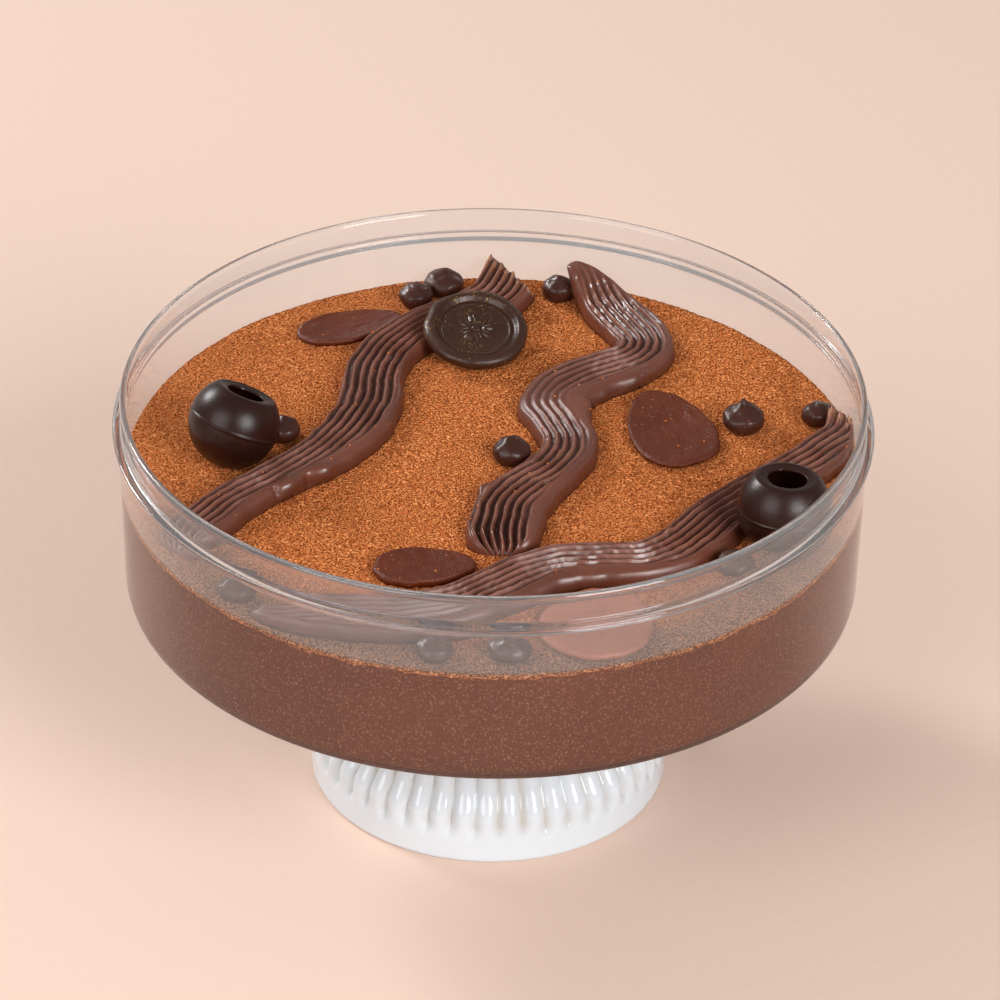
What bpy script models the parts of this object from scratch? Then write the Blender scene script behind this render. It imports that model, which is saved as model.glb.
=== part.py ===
"""Chocolate mousse in a clear round tub that stands on a white fluted foot.

Metres, +Z up. The origin is on the axis, at the level of the foot's flat bottom.
Ribbons and toppings are placed in millimetres on the cocoa surface and scaled by MM.
"""

from math import cos, pi, sin, sqrt, tau

import bmesh
import bpy
from mathutils import Matrix, Vector

MM = 0.001
GAP = 0.0003
MERGE = 0.0001

# Heights above the foot's bottom.
TUB_BOTTOM = 0.0650
RIM_TOP = 0.1210
TUB_FLOOR = TUB_BOTTOM + 0.0014
MOUSSE_TOP = RIM_TOP - 0.0257
COCOA_TOP = RIM_TOP - 0.0230

# The tub's radii.
BAND_OUTER = 0.0996
BAND_INNER = 0.0982
LEDGE_OUTER = 0.1020
WALL_OUTER = 0.1006
WALL_INNER = 0.0991
BASE_OUTER = 0.0998
BASE_INNER = 0.0984
LEDGE_DROP = 0.0088
TUB_STEPS = 48

# The foot.
FOOT_RADIUS = 0.0497
FOOT_BAND_TOP = 0.0073
FLUTES = 46
FLUTE_DEPTH = 0.0016
WAIST_RADIUS = 0.0300
FOOT_TOP_RADIUS = 0.0345

# The combed ganache ribbons, in millimetres.
RIBBON_HEIGHT = 4.6
RIDGES = 7
COMB_START = -0.92
COMB_END = 0.50
COMB_DEPTH = 0.26
STATION_STEP = 7.8
END_SHRINK = (0.62, 0.92, 1.0)

# The toppings, in millimetres.
DAB_STEPS = 16
DAB_RINGS = 8
DAB_FLATTENING = 1.2
DAB_MERGE = 0.02
CHIP_STEPS = 9
SHELL_STEPS = 16
SHELL_RADIUS = 12.4
SHELL_LIP_HEIGHT = 9.2
SHELL_LIP_RADIUS = 7.7
SHELL_HOLE_RADIUS = 5.2
SHELL_CAVITY_RADIUS = 9.7
SHELL_CAVITY_TURN = 1.0
SHELL_SHOULDER_TURN = 0.74
SHELL_SUNK = 1.3
DENT_RADIUS = SHELL_RADIUS + 0.5
SEAL_STEPS = 18
SEAL_RADIUS = 14.7
SEAL_THICKNESS = 4.2

# Control points of each ribbon, front to back: x, y, half width, lift of the underside.
# The smooth band is on the right of the way they run.
RIBBONS = {
    "ribbon_left": [
        (-81.0, -45.4, 7.2, 0.0), (-74.8, -35.0, 7.6, 0.0), (-68.0, -25.0, 7.2, 0.0),
        (-59.6, -15.8, 6.9, 0.0), (-50.6, -6.8, 7.6, 0.0), (-42.8, 2.6, 8.6, 0.0),
        (-37.2, 13.6, 9.3, 0.0), (-34.3, 24.8, 9.1, 0.0), (-33.8, 36.0, 8.7, 0.0),
        (-32.3, 46.5, 8.6, 0.0), (-28.5, 56.0, 8.6, 0.0), (-22.0, 64.5, 8.8, 0.0),
        (-13.4, 72.0, 8.8, 0.0), (-5.2, 78.6, 8.8, 0.0), (0.8, 84.6, 8.6, 0.8),
        (4.0, 91.2, 8.0, 4.2),
    ],
    "ribbon_middle": [
        (2.6, -46.0, 8.6, 0.0), (3.0, -40.0, 9.8, 0.0), (3.7, -33.0, 10.2, 0.0),
        (5.9, -24.2, 10.2, 0.0), (10.4, -15.6, 9.3, 0.0), (16.0, -7.8, 8.0, 0.0),
        (19.8, 0.2, 7.8, 0.0), (20.6, 8.0, 8.0, 0.0), (18.4, 16.5, 8.6, 0.0),
        (16.3, 25.0, 9.8, 0.0), (18.6, 33.0, 9.8, 0.0), (25.0, 40.0, 9.7, 0.0),
        (33.5, 45.8, 9.3, 0.0), (40.2, 52.2, 8.6, 0.0), (42.0, 60.0, 8.5, 0.0),
        (38.8, 68.5, 8.8, 0.0), (33.4, 77.0, 8.4, 0.3), (29.0, 84.5, 6.8, 1.6),
        (25.6, 89.6, 4.4, 4.2), (22.8, 91.8, 2.8, 7.6),
    ],
    "ribbon_front": [
        (-60.8, -73.3, 2.4, 0.0), (-54.0, -75.6, 4.6, 0.0), (-45.0, -77.0, 7.0, 0.0),
        (-33.0, -77.5, 8.0, 0.0), (-20.0, -76.5, 8.5, 0.0), (-8.0, -72.5, 9.0, 0.0),
        (1.0, -66.0, 9.2, 0.0), (9.0, -59.0, 9.2, 0.0), (18.0, -53.8, 9.0, 0.0),
        (28.0, -52.0, 8.6, 0.0), (38.0, -51.0, 8.2, 0.0), (47.0, -46.5, 8.6, 0.0),
        (54.5, -38.0, 9.0, 0.0), (61.0, -28.0, 8.8, 0.0), (69.0, -18.5, 8.0, 0.0),
        (78.2, -9.2, 7.9, 0.0), (86.2, -0.6, 7.4, 0.2), (91.2, 7.6, 6.2, 0.8),
        (94.0, 13.4, 4.0, 1.8), (94.9, 16.8, 2.6, 3.4),
    ],
}
# How far the left side of each ribbon's last section runs on, as a share of its width.
END_SKEW = {"ribbon_left": 0.45, "ribbon_middle": 0.0, "ribbon_front": 0.0}

# Flat dabs: x, y, half length, half width, thickness, turn, narrowing, dish.
DABS = {
    "dab_back_left": (-43.6, 66.8, 12.6, 7.8, 3.4, 0.26, -0.25, 0.55),
    "dab_right": (48.8, 16.6, 20.6, 12.2, 2.9, 1.66, -0.08, 0.25),
    "dab_front_left": (-17.2, -53.4, 13.6, 8.0, 3.0, 0.10, -0.22, 0.15),
    "dab_front_right": (28.0, -77.9, 15.3, 14.2, 3.0, 1.15, -0.10, 0.10),
}

# Chips: x, y, radius, height, length against width, turn, peak.
CHIPS = [
    (-15.2, 91.3, 5.0, 6.6, 1.0, 0.0, 0.1),
    (-23.0, 83.8, 4.6, 7.6, 1.0, 0.0, 1.0),
    (-57.4, 10.6, 5.0, 6.4, 1.0, 0.0, 0.3),
    (5.0, 1.2, 5.5, 7.0, 1.0, 0.6, 0.2),
    (17.5, 88.4, 3.7, 7.0, 1.0, 0.0, 0.2),
    (68.1, 19.4, 6.2, 8.6, 1.0, 0.0, 1.0),
    (89.2, 22.9, 4.6, 6.2, 1.15, 0.2, 0.1),
    (63.4, -51.4, 5.2, 6.2, 1.0, 0.0, 0.3),
    (-13.8, -91.4, 5.2, 6.8, 1.0, 0.0, 0.8),
    (5.2, -90.6, 5.7, 6.2, 1.05, 0.2, 0.2),
    (-64.6, -65.4, 5.2, 6.6, 1.1, 0.7, 0.5),
]

# Hollow shells: x, y and the way that the hole faces.
SHELLS = {
    "truffle_shell_left": (-69.7, -0.2, (0.357, 0.296, 0.882)),
    "truffle_shell_right": (76.4, -37.6, (0.060, 0.071, 0.995)),
}

# The seal: x, y, height of its middle above the cocoa, and the way that its face looks.
SEAL_PLACE = (-5.4, 58.4, 6.6)
SEAL_FACING = (0.07, -0.25, 0.965)


def clear_scene():
    for old in list(bpy.data.objects):
        bpy.data.objects.remove(old)


def new_collection(name):
    collection = bpy.data.collections.new(name)
    bpy.context.scene.collection.children.link(collection)
    return collection


def new_material(name, color, roughness, transmission=0.0):
    material = bpy.data.materials.new(name)
    material.use_nodes = True
    shader = material.node_tree.nodes["Principled BSDF"]
    shader.inputs["Base Color"].default_value = (*color, 1.0)
    shader.inputs["Roughness"].default_value = roughness
    shader.inputs["Metallic"].default_value = 0.0
    shader.inputs["Transmission Weight"].default_value = transmission
    return material


def new_object(name, mesh, material, collection):
    mesh.materials.append(material)
    obj = bpy.data.objects.new(name, mesh)
    collection.objects.link(obj)
    return obj


def object_from_bmesh(name, bm, material, collection):
    bmesh.ops.recalc_face_normals(bm, faces=bm.faces)
    mesh = bpy.data.meshes.new(name)
    bm.to_mesh(mesh)
    bm.free()
    mesh.shade_smooth()
    return new_object(name, mesh, material, collection)


def turned(name, profile, steps, material, collection):
    """A solid of revolution. The profile (radius, height) runs down its outer side, ends on the axis."""
    mesh = bpy.data.meshes.new(name)
    edges = [(i, i + 1) for i in range(len(profile) - 1)]
    mesh.from_pydata([(r, 0.0, z) for r, z in profile], edges, [])
    obj = new_object(name, mesh, material, collection)
    screw = obj.modifiers.new("Turn", "SCREW")
    screw.steps = steps
    screw.render_steps = steps
    screw.use_merge_vertices = True
    screw.merge_threshold = MERGE
    screw.use_smooth_shade = True
    return obj


def arc(radius, start, end, count, centre=(0.0, 0.0)):
    """Points on a circle in the profile's plane, with the angle measured up from the level."""
    angles = [start + (end - start) * i / (count - 1) for i in range(count)]
    return [(centre[0] + radius * cos(a), centre[1] + radius * sin(a)) for a in angles]


def facing(direction):
    """The rotation that turns +Z to the direction."""
    return Vector(direction).normalized().to_track_quat("Z", "Y").to_matrix().to_4x4()


def make_tub(material, collection):
    ledge = RIM_TOP - LEDGE_DROP
    inside = [
        (0.0, TUB_FLOOR), (BASE_INNER - 0.0022, TUB_FLOOR), (BASE_INNER, TUB_FLOOR + 0.0022),
        (WALL_INNER, ledge - 0.0022), (BAND_INNER, ledge), (BAND_INNER, RIM_TOP - 0.0012),
        (BAND_INNER + 0.0004, RIM_TOP),
    ]
    outside = [
        (BAND_OUTER, RIM_TOP), (BAND_OUTER + 0.0004, RIM_TOP - 0.0012), (BAND_OUTER, ledge + 0.0012),
        (LEDGE_OUTER, ledge + 0.0004), (LEDGE_OUTER, ledge - 0.0006), (WALL_OUTER, ledge - 0.0020),
        (BASE_OUTER, TUB_BOTTOM + 0.0022), (BASE_OUTER - 0.0022, TUB_BOTTOM), (0.0, TUB_BOTTOM),
    ]
    return turned("tub", inside + outside, TUB_STEPS, material, collection)


def wall_inner_at(height):
    """The inner radius of the tub's wall at a height below its ledge."""
    low = TUB_FLOOR + 0.0022
    high = RIM_TOP - LEDGE_DROP - 0.0022
    return BASE_INNER + (WALL_INNER - BASE_INNER) * (height - low) / (high - low)


def make_mousse(material, collection):
    low = TUB_FLOOR + GAP
    profile = [
        (0.0, MOUSSE_TOP), (wall_inner_at(MOUSSE_TOP) - GAP, MOUSSE_TOP),
        (BASE_INNER - GAP, low + 0.0022), (BASE_INNER - 0.0022 - GAP, low), (0.0, low),
    ]
    return turned("mousse", profile, TUB_STEPS, material, collection)


def shell_centre(name):
    """The middle of a hollow shell, which sits in a dent of the cocoa."""
    x, y, _ = SHELLS[name]
    return Vector((x * MM, y * MM, COCOA_TOP + (SHELL_RADIUS - SHELL_SUNK) * MM))


def make_cocoa(material, collection, cutters):
    """The dusted top layer, with a dent under each hollow shell."""
    low = MOUSSE_TOP + GAP
    edge = wall_inner_at(COCOA_TOP) - GAP
    profile = [
        (0.0, COCOA_TOP), (edge - 0.0010, COCOA_TOP), (edge, COCOA_TOP - 0.0006),
        (edge, low), (0.0, low),
    ]
    cocoa = turned("cocoa_layer", profile, TUB_STEPS, material, collection)
    for name in SHELLS:
        bm = bmesh.new()
        bmesh.ops.create_icosphere(bm, subdivisions=3, radius=DENT_RADIUS * MM)
        bmesh.ops.translate(bm, vec=shell_centre(name), verts=bm.verts)
        dent = object_from_bmesh("dent_" + name, bm, material, cutters)
        dent.hide_render = True
        dent.display_type = "WIRE"
        cut = cocoa.modifiers.new("Dent", "BOOLEAN")
        cut.operation = "DIFFERENCE"
        cut.object = dent
    return cocoa


def foot_rings():
    """Height, mean radius and flute depth of the foot, from the floor up."""
    top = TUB_BOTTOM - GAP
    return [
        (0.0, FOOT_RADIUS, 0.0),
        (FOOT_BAND_TOP, FOOT_RADIUS - 0.0002, 0.0),
        (FOOT_BAND_TOP + 0.0016, FOOT_RADIUS - 0.0004, FLUTE_DEPTH),
        (0.0175, FOOT_RADIUS - 0.0010, FLUTE_DEPTH),
        (0.0320, FOOT_RADIUS - 0.0098, FLUTE_DEPTH * 0.9),
        (0.0500, WAIST_RADIUS, FLUTE_DEPTH * 0.4),
        (top, FOOT_TOP_RADIUS, 0.0),
    ]


def loft(bm, rows):
    """Joins rows of as many points each into one closed skin, with a cap at each end."""
    rows = [[bm.verts.new(spot) for spot in row] for row in rows]
    size = len(rows[0])
    for a, b in zip(rows, rows[1:]):
        for i in range(size):
            j = (i + 1) % size
            bm.faces.new((a[i], a[j], b[j], b[i]))
    bm.faces.new(rows[0])
    bm.faces.new(rows[-1])


def make_foot(material, collection):
    """Rings of three points to a flute: one in the groove and two on the rib."""
    around = 3 * FLUTES
    rows = []
    for height, radius, depth in foot_rings():
        row = []
        for i in range(around):
            reach = radius - (depth if i % 3 == 0 else 0.0)
            angle = tau * i / around
            row.append((reach * cos(angle), reach * sin(angle), height))
        rows.append(row)
    bm = bmesh.new()
    loft(bm, rows)
    return object_from_bmesh("fluted_foot", bm, material, collection)


def spline_point(controls, t):
    """A Catmull-Rom curve through the control points. The whole part of t counts them."""
    last = len(controls) - 1
    i = min(int(t), last - 1)
    f = t - i
    before, here, after, beyond = (
        Vector(controls[max(0, min(last, k))]) for k in (i - 1, i, i + 1, i + 2)
    )
    return 0.5 * (
        2.0 * here
        + (after - before) * f
        + (2.0 * before - 5.0 * here + 4.0 * after - beyond) * f * f
        + (3.0 * here - before - 3.0 * after + beyond) * f**3
    )


def ribbon_top():
    """The comb's ridges and the smooth band: share of the half width, and share of the height."""

    def crown(s):
        return (1.0 - abs(s) ** 8) ** 0.5

    pitch = (COMB_END - COMB_START) / RIDGES
    points = [(-1.0, 0.0)]
    for i in range(RIDGES):
        ridge = COMB_START + (i + 0.3) * pitch
        groove = COMB_START + (i + 0.8) * pitch
        points.append((ridge, crown(ridge)))
        points.append((groove, crown(groove) - COMB_DEPTH))
    points += [(s, crown(s) * 0.97) for s in (0.60, 0.80, 0.93)]
    points.append((1.0, 0.0))
    return points


def make_ribbon(name, material, collection):
    """A loft of comb sections along the ribbon's path."""
    controls = [Vector(c) for c in RIBBONS[name]]
    spans = len(controls) - 1
    length = sum((controls[i + 1] - controls[i]).xy.length for i in range(spans))
    count = round(length / STATION_STEP)
    top = ribbon_top()
    base = COCOA_TOP + GAP
    rows = []
    for k in range(count + 1):
        t = spans * k / count
        x, y, half, lift = spline_point(controls, t)
        ahead = spline_point(controls, min(t + 0.05, spans))
        behind = spline_point(controls, max(t - 0.05, 0.0))
        way = Vector((ahead.x - behind.x, ahead.y - behind.y, ahead[3] - behind[3])).normalized()
        right = Vector((way.y, -way.x, 0.0)).normalized()
        up = right.cross(way)
        end = min(k, count - k)
        shrink = END_SHRINK[min(end, 2)]
        skew = END_SKEW[name] if k == count else 0.0
        row = []
        for s, rise in top:
            spot = Vector((x, y, lift))
            spot += right * (s * half * shrink) + up * (max(rise, 0.0) * RIBBON_HEIGHT * shrink)
            spot -= way * (s * half * skew)
            row.append(spot * MM + Vector((0.0, 0.0, base)))
        rows.append(row)
    bm = bmesh.new()
    loft(bm, rows)
    return object_from_bmesh(name, bm, material, collection)


def make_dab(name, material, collection):
    """A flat dab of chocolate: a flattened ball, narrowed to one end and dished on top.

    The ball is drawn out by DAB_FLATTENING and cut off level at its bottom and top.
    """
    x, y, half_length, half_width, thickness, turn, narrowing, dish = DABS[name]
    bm = bmesh.new()
    bmesh.ops.create_uvsphere(bm, u_segments=DAB_STEPS, v_segments=DAB_RINGS, radius=1.0)
    for vert in bm.verts:
        out = min(1.0, sqrt(vert.co.x**2 + vert.co.y**2))
        width = half_width * (1.0 + narrowing * vert.co.x)
        hollow = dish * (1.0 - out * out) if vert.co.z > 0.0 else 0.0
        rise = max(0.0, 0.5 + 0.5 * vert.co.z * DAB_FLATTENING) - hollow
        level = max(0.0, min(rise, 1.0)) * thickness
        vert.co = Vector((vert.co.x * half_length, vert.co.y * width, level))
    bmesh.ops.remove_doubles(bm, verts=bm.verts, dist=DAB_MERGE)
    bmesh.ops.dissolve_limit(
        bm, angle_limit=0.01, verts=bm.verts, edges=bm.edges, use_dissolve_boundaries=False
    )
    place = Matrix.Translation((x * MM, y * MM, COCOA_TOP + GAP)) @ Matrix.Rotation(turn, 4, "Z")
    bmesh.ops.transform(bm, matrix=place @ Matrix.Scale(MM, 4), verts=bm.verts)
    return object_from_bmesh(name, bm, material, collection)


def make_chip(number, material, collection):
    """A small drop: round at the foot, drawn up to a peak."""
    x, y, radius, height, stretch, turn, peak = CHIPS[number]
    shoulder = 0.62 - 0.10 * peak
    profile = [
        (0.0, height), (radius * (0.30 - 0.12 * peak), height * (0.95 - 0.08 * peak)),
        (radius * (0.74 - 0.18 * peak), height * (0.74 - 0.06 * peak)),
        (radius, height * shoulder * 0.62), (radius * 0.84, height * 0.08),
        (radius * 0.62, 0.0), (0.0, 0.0),
    ]
    name = f"chip_{number + 1:02d}"
    obj = turned(name, [(r * MM, z * MM) for r, z in profile], CHIP_STEPS, material, collection)
    obj.location = (x * MM, y * MM, COCOA_TOP + GAP)
    obj.rotation_euler = (0.0, 0.0, turn)
    obj.scale = (stretch, 1.0, 1.0)
    return obj


def make_shell(name, material, collection):
    """A hollow ball with a seam round its middle and a flat lip round its hole."""
    direction = SHELLS[name][2]
    cavity = arc(SHELL_CAVITY_RADIUS, -pi / 2, SHELL_CAVITY_TURN, 6)
    lip = [
        (SHELL_HOLE_RADIUS, SHELL_LIP_HEIGHT - 0.9), (SHELL_HOLE_RADIUS + 0.2, SHELL_LIP_HEIGHT - 0.4),
        (SHELL_LIP_RADIUS, SHELL_LIP_HEIGHT),
    ]
    upper = arc(SHELL_RADIUS, SHELL_SHOULDER_TURN, 0.05, 4)
    seam = [(SHELL_RADIUS + 0.15, 0.0)]
    lower = arc(SHELL_RADIUS - 0.15, -0.05, -pi / 2, 7)
    profile = [(r * MM, z * MM) for r, z in cavity + lip + upper + seam + lower]
    obj = turned(name, profile, SHELL_STEPS, material, collection)
    obj.matrix_world = Matrix.Translation(shell_centre(name)) @ facing(direction)
    return obj


def make_seal(material, collection):
    """A pressed disc with a thick rounded rim and a ring inside it."""
    low = -SEAL_THICKNESS / 2.0
    high = SEAL_THICKNESS / 2.0
    rim = SEAL_RADIUS - 1.6
    profile = [
        (0.0, high - 1.3), (rim - 3.0, high - 1.3), (rim - 2.6, high - 0.9), (rim - 2.0, high - 1.2),
        (rim - 1.2, high - 0.2), (rim, high), (SEAL_RADIUS - 0.3, high - 1.0),
        (SEAL_RADIUS, 0.0), (SEAL_RADIUS - 0.6, low + 0.7), (rim, low), (0.0, low),
    ]
    obj = turned("seal", [(r * MM, z * MM) for r, z in profile], SEAL_STEPS, material, collection)
    x, y, height = SEAL_PLACE
    centre = Vector((x * MM, y * MM, COCOA_TOP + height * MM))
    obj.matrix_world = Matrix.Translation(centre) @ facing(SEAL_FACING)
    return obj


def main():
    clear_scene()
    collection = new_collection("chocolate_mousse")
    cutters = new_collection("cutters")
    clear_plastic = new_material("clear_plastic", (0.93, 0.93, 0.94), 0.05, 1.0)
    white_glaze = new_material("white_glaze", (0.84, 0.83, 0.81), 0.16)
    mousse = new_material("mousse", (0.165, 0.082, 0.058), 0.85)
    cocoa = new_material("cocoa_powder", (0.45, 0.150, 0.048), 0.95)
    ganache = new_material("ganache", (0.105, 0.040, 0.026), 0.34)
    dark = new_material("dark_chocolate", (0.030, 0.012, 0.009), 0.38)
    milk = new_material("glossy_chocolate", (0.090, 0.026, 0.013), 0.30)

    make_tub(clear_plastic, collection)
    make_mousse(mousse, collection)
    make_cocoa(cocoa, collection, cutters)
    make_foot(white_glaze, collection)
    for name in RIBBONS:
        make_ribbon(name, ganache, collection)
    for name in DABS:
        make_dab(name, milk, collection)
    for number in range(len(CHIPS)):
        make_chip(number, dark, collection)
    for name in SHELLS:
        make_shell(name, dark, collection)
    make_seal(dark, collection)


main()
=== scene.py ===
"""Looks of the chocolate mousse: clear tub, mousse, cocoa, combed ribbons, toppings and foot."""

import logging
from dataclasses import dataclass, field
from enum import Enum
from math import atan2, cos, exp, floor, hypot, pi, radians, sin, sqrt, tau
from random import Random

import bmesh
import bpy
import numpy as np
from mathutils import Matrix, Vector, noise
from mathutils.bvhtree import BVHTree


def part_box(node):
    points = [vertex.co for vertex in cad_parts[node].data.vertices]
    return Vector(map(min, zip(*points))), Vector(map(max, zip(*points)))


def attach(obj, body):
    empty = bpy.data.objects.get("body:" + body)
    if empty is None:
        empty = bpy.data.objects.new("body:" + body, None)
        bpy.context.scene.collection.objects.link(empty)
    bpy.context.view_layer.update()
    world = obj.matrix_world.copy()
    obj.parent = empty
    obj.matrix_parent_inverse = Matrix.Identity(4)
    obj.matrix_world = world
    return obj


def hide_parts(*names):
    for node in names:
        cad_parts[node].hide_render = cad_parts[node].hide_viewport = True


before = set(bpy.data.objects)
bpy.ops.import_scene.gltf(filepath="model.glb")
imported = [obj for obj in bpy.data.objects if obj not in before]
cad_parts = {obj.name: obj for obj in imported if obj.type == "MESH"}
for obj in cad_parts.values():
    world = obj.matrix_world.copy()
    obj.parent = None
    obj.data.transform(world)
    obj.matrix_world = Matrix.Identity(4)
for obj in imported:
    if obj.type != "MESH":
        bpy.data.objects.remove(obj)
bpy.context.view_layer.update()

logging.basicConfig(level=logging.INFO, format="%(levelname)s %(message)s")
LOG = logging.getLogger("mousse")

MM = 0.001
SEED = 20
TUB_LOW, TUB_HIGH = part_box("tub")
MOUSSE_LOW, MOUSSE_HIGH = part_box("mousse")
COCOA_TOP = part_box("cocoa_layer")[1].z
INTO_WALL = 0.3 * MM

Color = tuple[float, float, float]
Profile = list[tuple[float, float]]


# ---------------------------------------------------------------- small helpers


def smooth_step(low: float, high: float, value: float) -> float:
    """Ease from 0 at low to 1 at high.

    Args:
        low: Where the step begins.
        high: Where the step ends. It may lie below low for a falling step.
        value: The place that is asked about.

    Returns:
        The share of the step that is done.
    """
    share = min(1.0, max(0.0, (value - low) / (high - low)))
    return share * share * (3.0 - 2.0 * share)


def rough(spot: Vector, size: float, turn: float = 0.0) -> float:
    """Give smooth noise from about -1 to 1.

    Args:
        spot: The place, in metres.
        size: The size of a bump, in millimetres.
        turn: A shift that gives another pattern.

    Returns:
        The noise at that place.
    """
    return noise.noise(spot / (size * MM) + Vector((turn, -turn, 0.37 * turn)))


def arc(radius: float, start: float, end: float, count: int) -> Profile:
    """Points on a circle in the profile's plane, with the angle measured up from the level.

    Args:
        radius: The circle's radius.
        start: The first angle.
        end: The last angle.
        count: How many points.

    Returns:
        The points as radius and height.
    """
    angles = [start + (end - start) * i / (count - 1) for i in range(count)]
    return [(radius * cos(a), radius * sin(a)) for a in angles]


def rounded(profile: Profile, radius: float, steps: int = 4) -> Profile:
    """Round the inner corners of a profile.

    Args:
        profile: The corners as radius and height.
        radius: How far from a corner its rounding starts.
        steps: How many edges each rounding gets.

    Returns:
        The profile with a short curve at each corner.
    """
    points = [Vector(p) for p in profile]
    out = [profile[0]]
    for before, here, after in zip(points, points[1:], points[2:]):
        reach = min(radius, (here - before).length * 0.45, (after - here).length * 0.45)
        start = here + (before - here).normalized() * reach
        end = here + (after - here).normalized() * reach
        for i in range(steps + 1):
            t = i / steps
            spot = start * (1 - t) ** 2 + here * (2 * t * (1 - t)) + end * t**2
            out.append((spot.x, spot.y))
    out.append(profile[-1])
    return out


def turned(profile: Profile, steps: int) -> bmesh.types.BMesh:
    """Turn a profile about the upright axis.

    Args:
        profile: Radius and height of each point, from axis to axis.
        steps: How many sides the turned shape has.

    Returns:
        A closed shape with its faces pointing out.
    """
    bm = bmesh.new()
    verts = [bm.verts.new((r, 0.0, z)) for r, z in profile]
    edges = [bm.edges.new(pair) for pair in zip(verts, verts[1:])]
    bmesh.ops.spin(
        bm, geom=verts + edges, cent=(0, 0, 0), axis=(0, 0, 1), angle=tau, steps=steps, use_merge=True
    )
    bmesh.ops.remove_doubles(bm, verts=bm.verts, dist=1e-7)
    bmesh.ops.recalc_face_normals(bm, faces=bm.faces)
    return bm


def facing(direction: Vector) -> Matrix:
    """Give the rotation that turns +Z to a direction."""
    return direction.normalized().to_track_quat("Z", "Y").to_matrix().to_4x4()


def finished(
    name: str, bm: bmesh.types.BMesh, material: bpy.types.Material, slot: str, *nodes: str
) -> bpy.types.Object:
    """Make a piece of the object from a shape, hang it on the root body and hide the frame's nodes it stands for.

    Args:
        name: The piece's name.
        bm: The shape, in place. It is freed.
        material: The finish.
        slot: The record's material slot. It is not used.
        nodes: The frame's nodes that the piece stands for.

    Returns:
        The new piece.
    """
    mesh = bpy.data.meshes.new(name)
    bm.to_mesh(mesh)
    bm.free()
    mesh.shade_smooth()
    mesh.materials.append(material)
    piece = bpy.data.objects.new(name, mesh)
    bpy.context.scene.collection.objects.link(piece)
    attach(piece, "root")
    if nodes:
        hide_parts(*nodes)
    LOG.info("%s: %d faces", name, len(mesh.polygons))
    return piece


# ---------------------------------------------------------------- finishes


class Board:
    """A node tree with short ways to place and join nodes."""

    def __init__(self, tree: bpy.types.NodeTree) -> None:
        """Take the tree that the nodes go in."""
        self.tree = tree

    def add(self, kind: str, **inputs: object) -> bpy.types.Node:
        """Place a node.

        Args:
            kind: The node's type without its ShaderNode prefix.
            inputs: Input names, with underscores for spaces, and a value or a socket for each.

        Returns:
            The node.
        """
        node = self.tree.nodes.new(kind if kind.startswith("NodeGroup") else "ShaderNode" + kind)
        self.feed(node, **inputs)
        return node

    def feed(self, node: bpy.types.Node, **inputs: object) -> None:
        """Set or join a node's inputs, named as in add."""
        for name, value in inputs.items():
            socket = node.inputs[name.replace("_", " ")]
            if isinstance(value, bpy.types.NodeSocket):
                self.tree.links.new(value, socket)
            else:
                socket.default_value = value

    def ramp(self, factor: bpy.types.NodeSocket, stops: list[tuple[float, Color]]) -> bpy.types.NodeSocket:
        """Place a colour ramp.

        Args:
            factor: What drives the ramp.
            stops: Places and colours, from low to high.

        Returns:
            The colour.
        """
        node = self.add("ValToRGB", Fac=factor)
        elements = node.color_ramp.elements
        while len(elements) < len(stops):
            elements.new(0.5)
        for element, (place, color) in zip(elements, stops):
            element.position = place
            element.color = (*color, 1.0)
        return node.outputs["Color"]

    def span(
        self, value: bpy.types.NodeSocket, low: float, high: float, to_low: float = 0.0, to_high: float = 1.0
    ) -> bpy.types.NodeSocket:
        """Map a value from one span to another, with its ends clamped."""
        node = self.add(
            "MapRange", Value=value, From_Min=low, From_Max=high, To_Min=to_low, To_Max=to_high
        )
        node.interpolation_type = "SMOOTHSTEP"
        return node.outputs["Result"]

    def times(self, a: bpy.types.NodeSocket, b: object) -> bpy.types.NodeSocket:
        """Multiply two values."""
        node = self.tree.nodes.new("ShaderNodeMath")
        node.operation = "MULTIPLY"
        for socket, value in zip(node.inputs, (a, b)):
            if isinstance(value, bpy.types.NodeSocket):
                self.tree.links.new(value, socket)
            else:
                socket.default_value = value
        return node.outputs[0]

    def larger(self, a: bpy.types.NodeSocket, b: bpy.types.NodeSocket) -> bpy.types.NodeSocket:
        """Take the larger of two values."""
        node = self.tree.nodes.new("ShaderNodeMath")
        node.operation = "MAXIMUM"
        self.tree.links.new(a, node.inputs[0])
        self.tree.links.new(b, node.inputs[1])
        return node.outputs[0]

    def mix(self, factor: object, a: object, b: object) -> bpy.types.NodeSocket:
        """Mix two colours."""
        node = self.tree.nodes.new("ShaderNodeMix")
        node.data_type = "RGBA"
        for socket, value in zip((node.inputs[0], node.inputs[6], node.inputs[7]), (factor, a, b)):
            if isinstance(value, bpy.types.NodeSocket):
                self.tree.links.new(value, socket)
            elif isinstance(value, float):
                socket.default_value = value
            else:
                socket.default_value = (*value, 1.0)
        return node.outputs[2]


def new_group(name: str, inputs: dict[str, float], outputs: list[str]) -> tuple[Board, object, object]:
    """Start a node group whose first input is a place.

    Args:
        name: The group's name.
        inputs: Names and usual values of its other inputs.
        outputs: Names of the values that it puts out.

    Returns:
        The board, the node that gives the inputs and the node that takes the outputs.
    """
    tree = bpy.data.node_groups.new(name, "ShaderNodeTree")
    tree.interface.new_socket("Place", in_out="INPUT", socket_type="NodeSocketVector")
    for label, value in inputs.items():
        socket = tree.interface.new_socket(label, in_out="INPUT", socket_type="NodeSocketFloat")
        socket.default_value = value
    for label in outputs:
        tree.interface.new_socket(label, in_out="OUTPUT", socket_type="NodeSocketFloat")
    board = Board(tree)
    return board, board.add("NodeGroupInput"), board.add("NodeGroupOutput")


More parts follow.
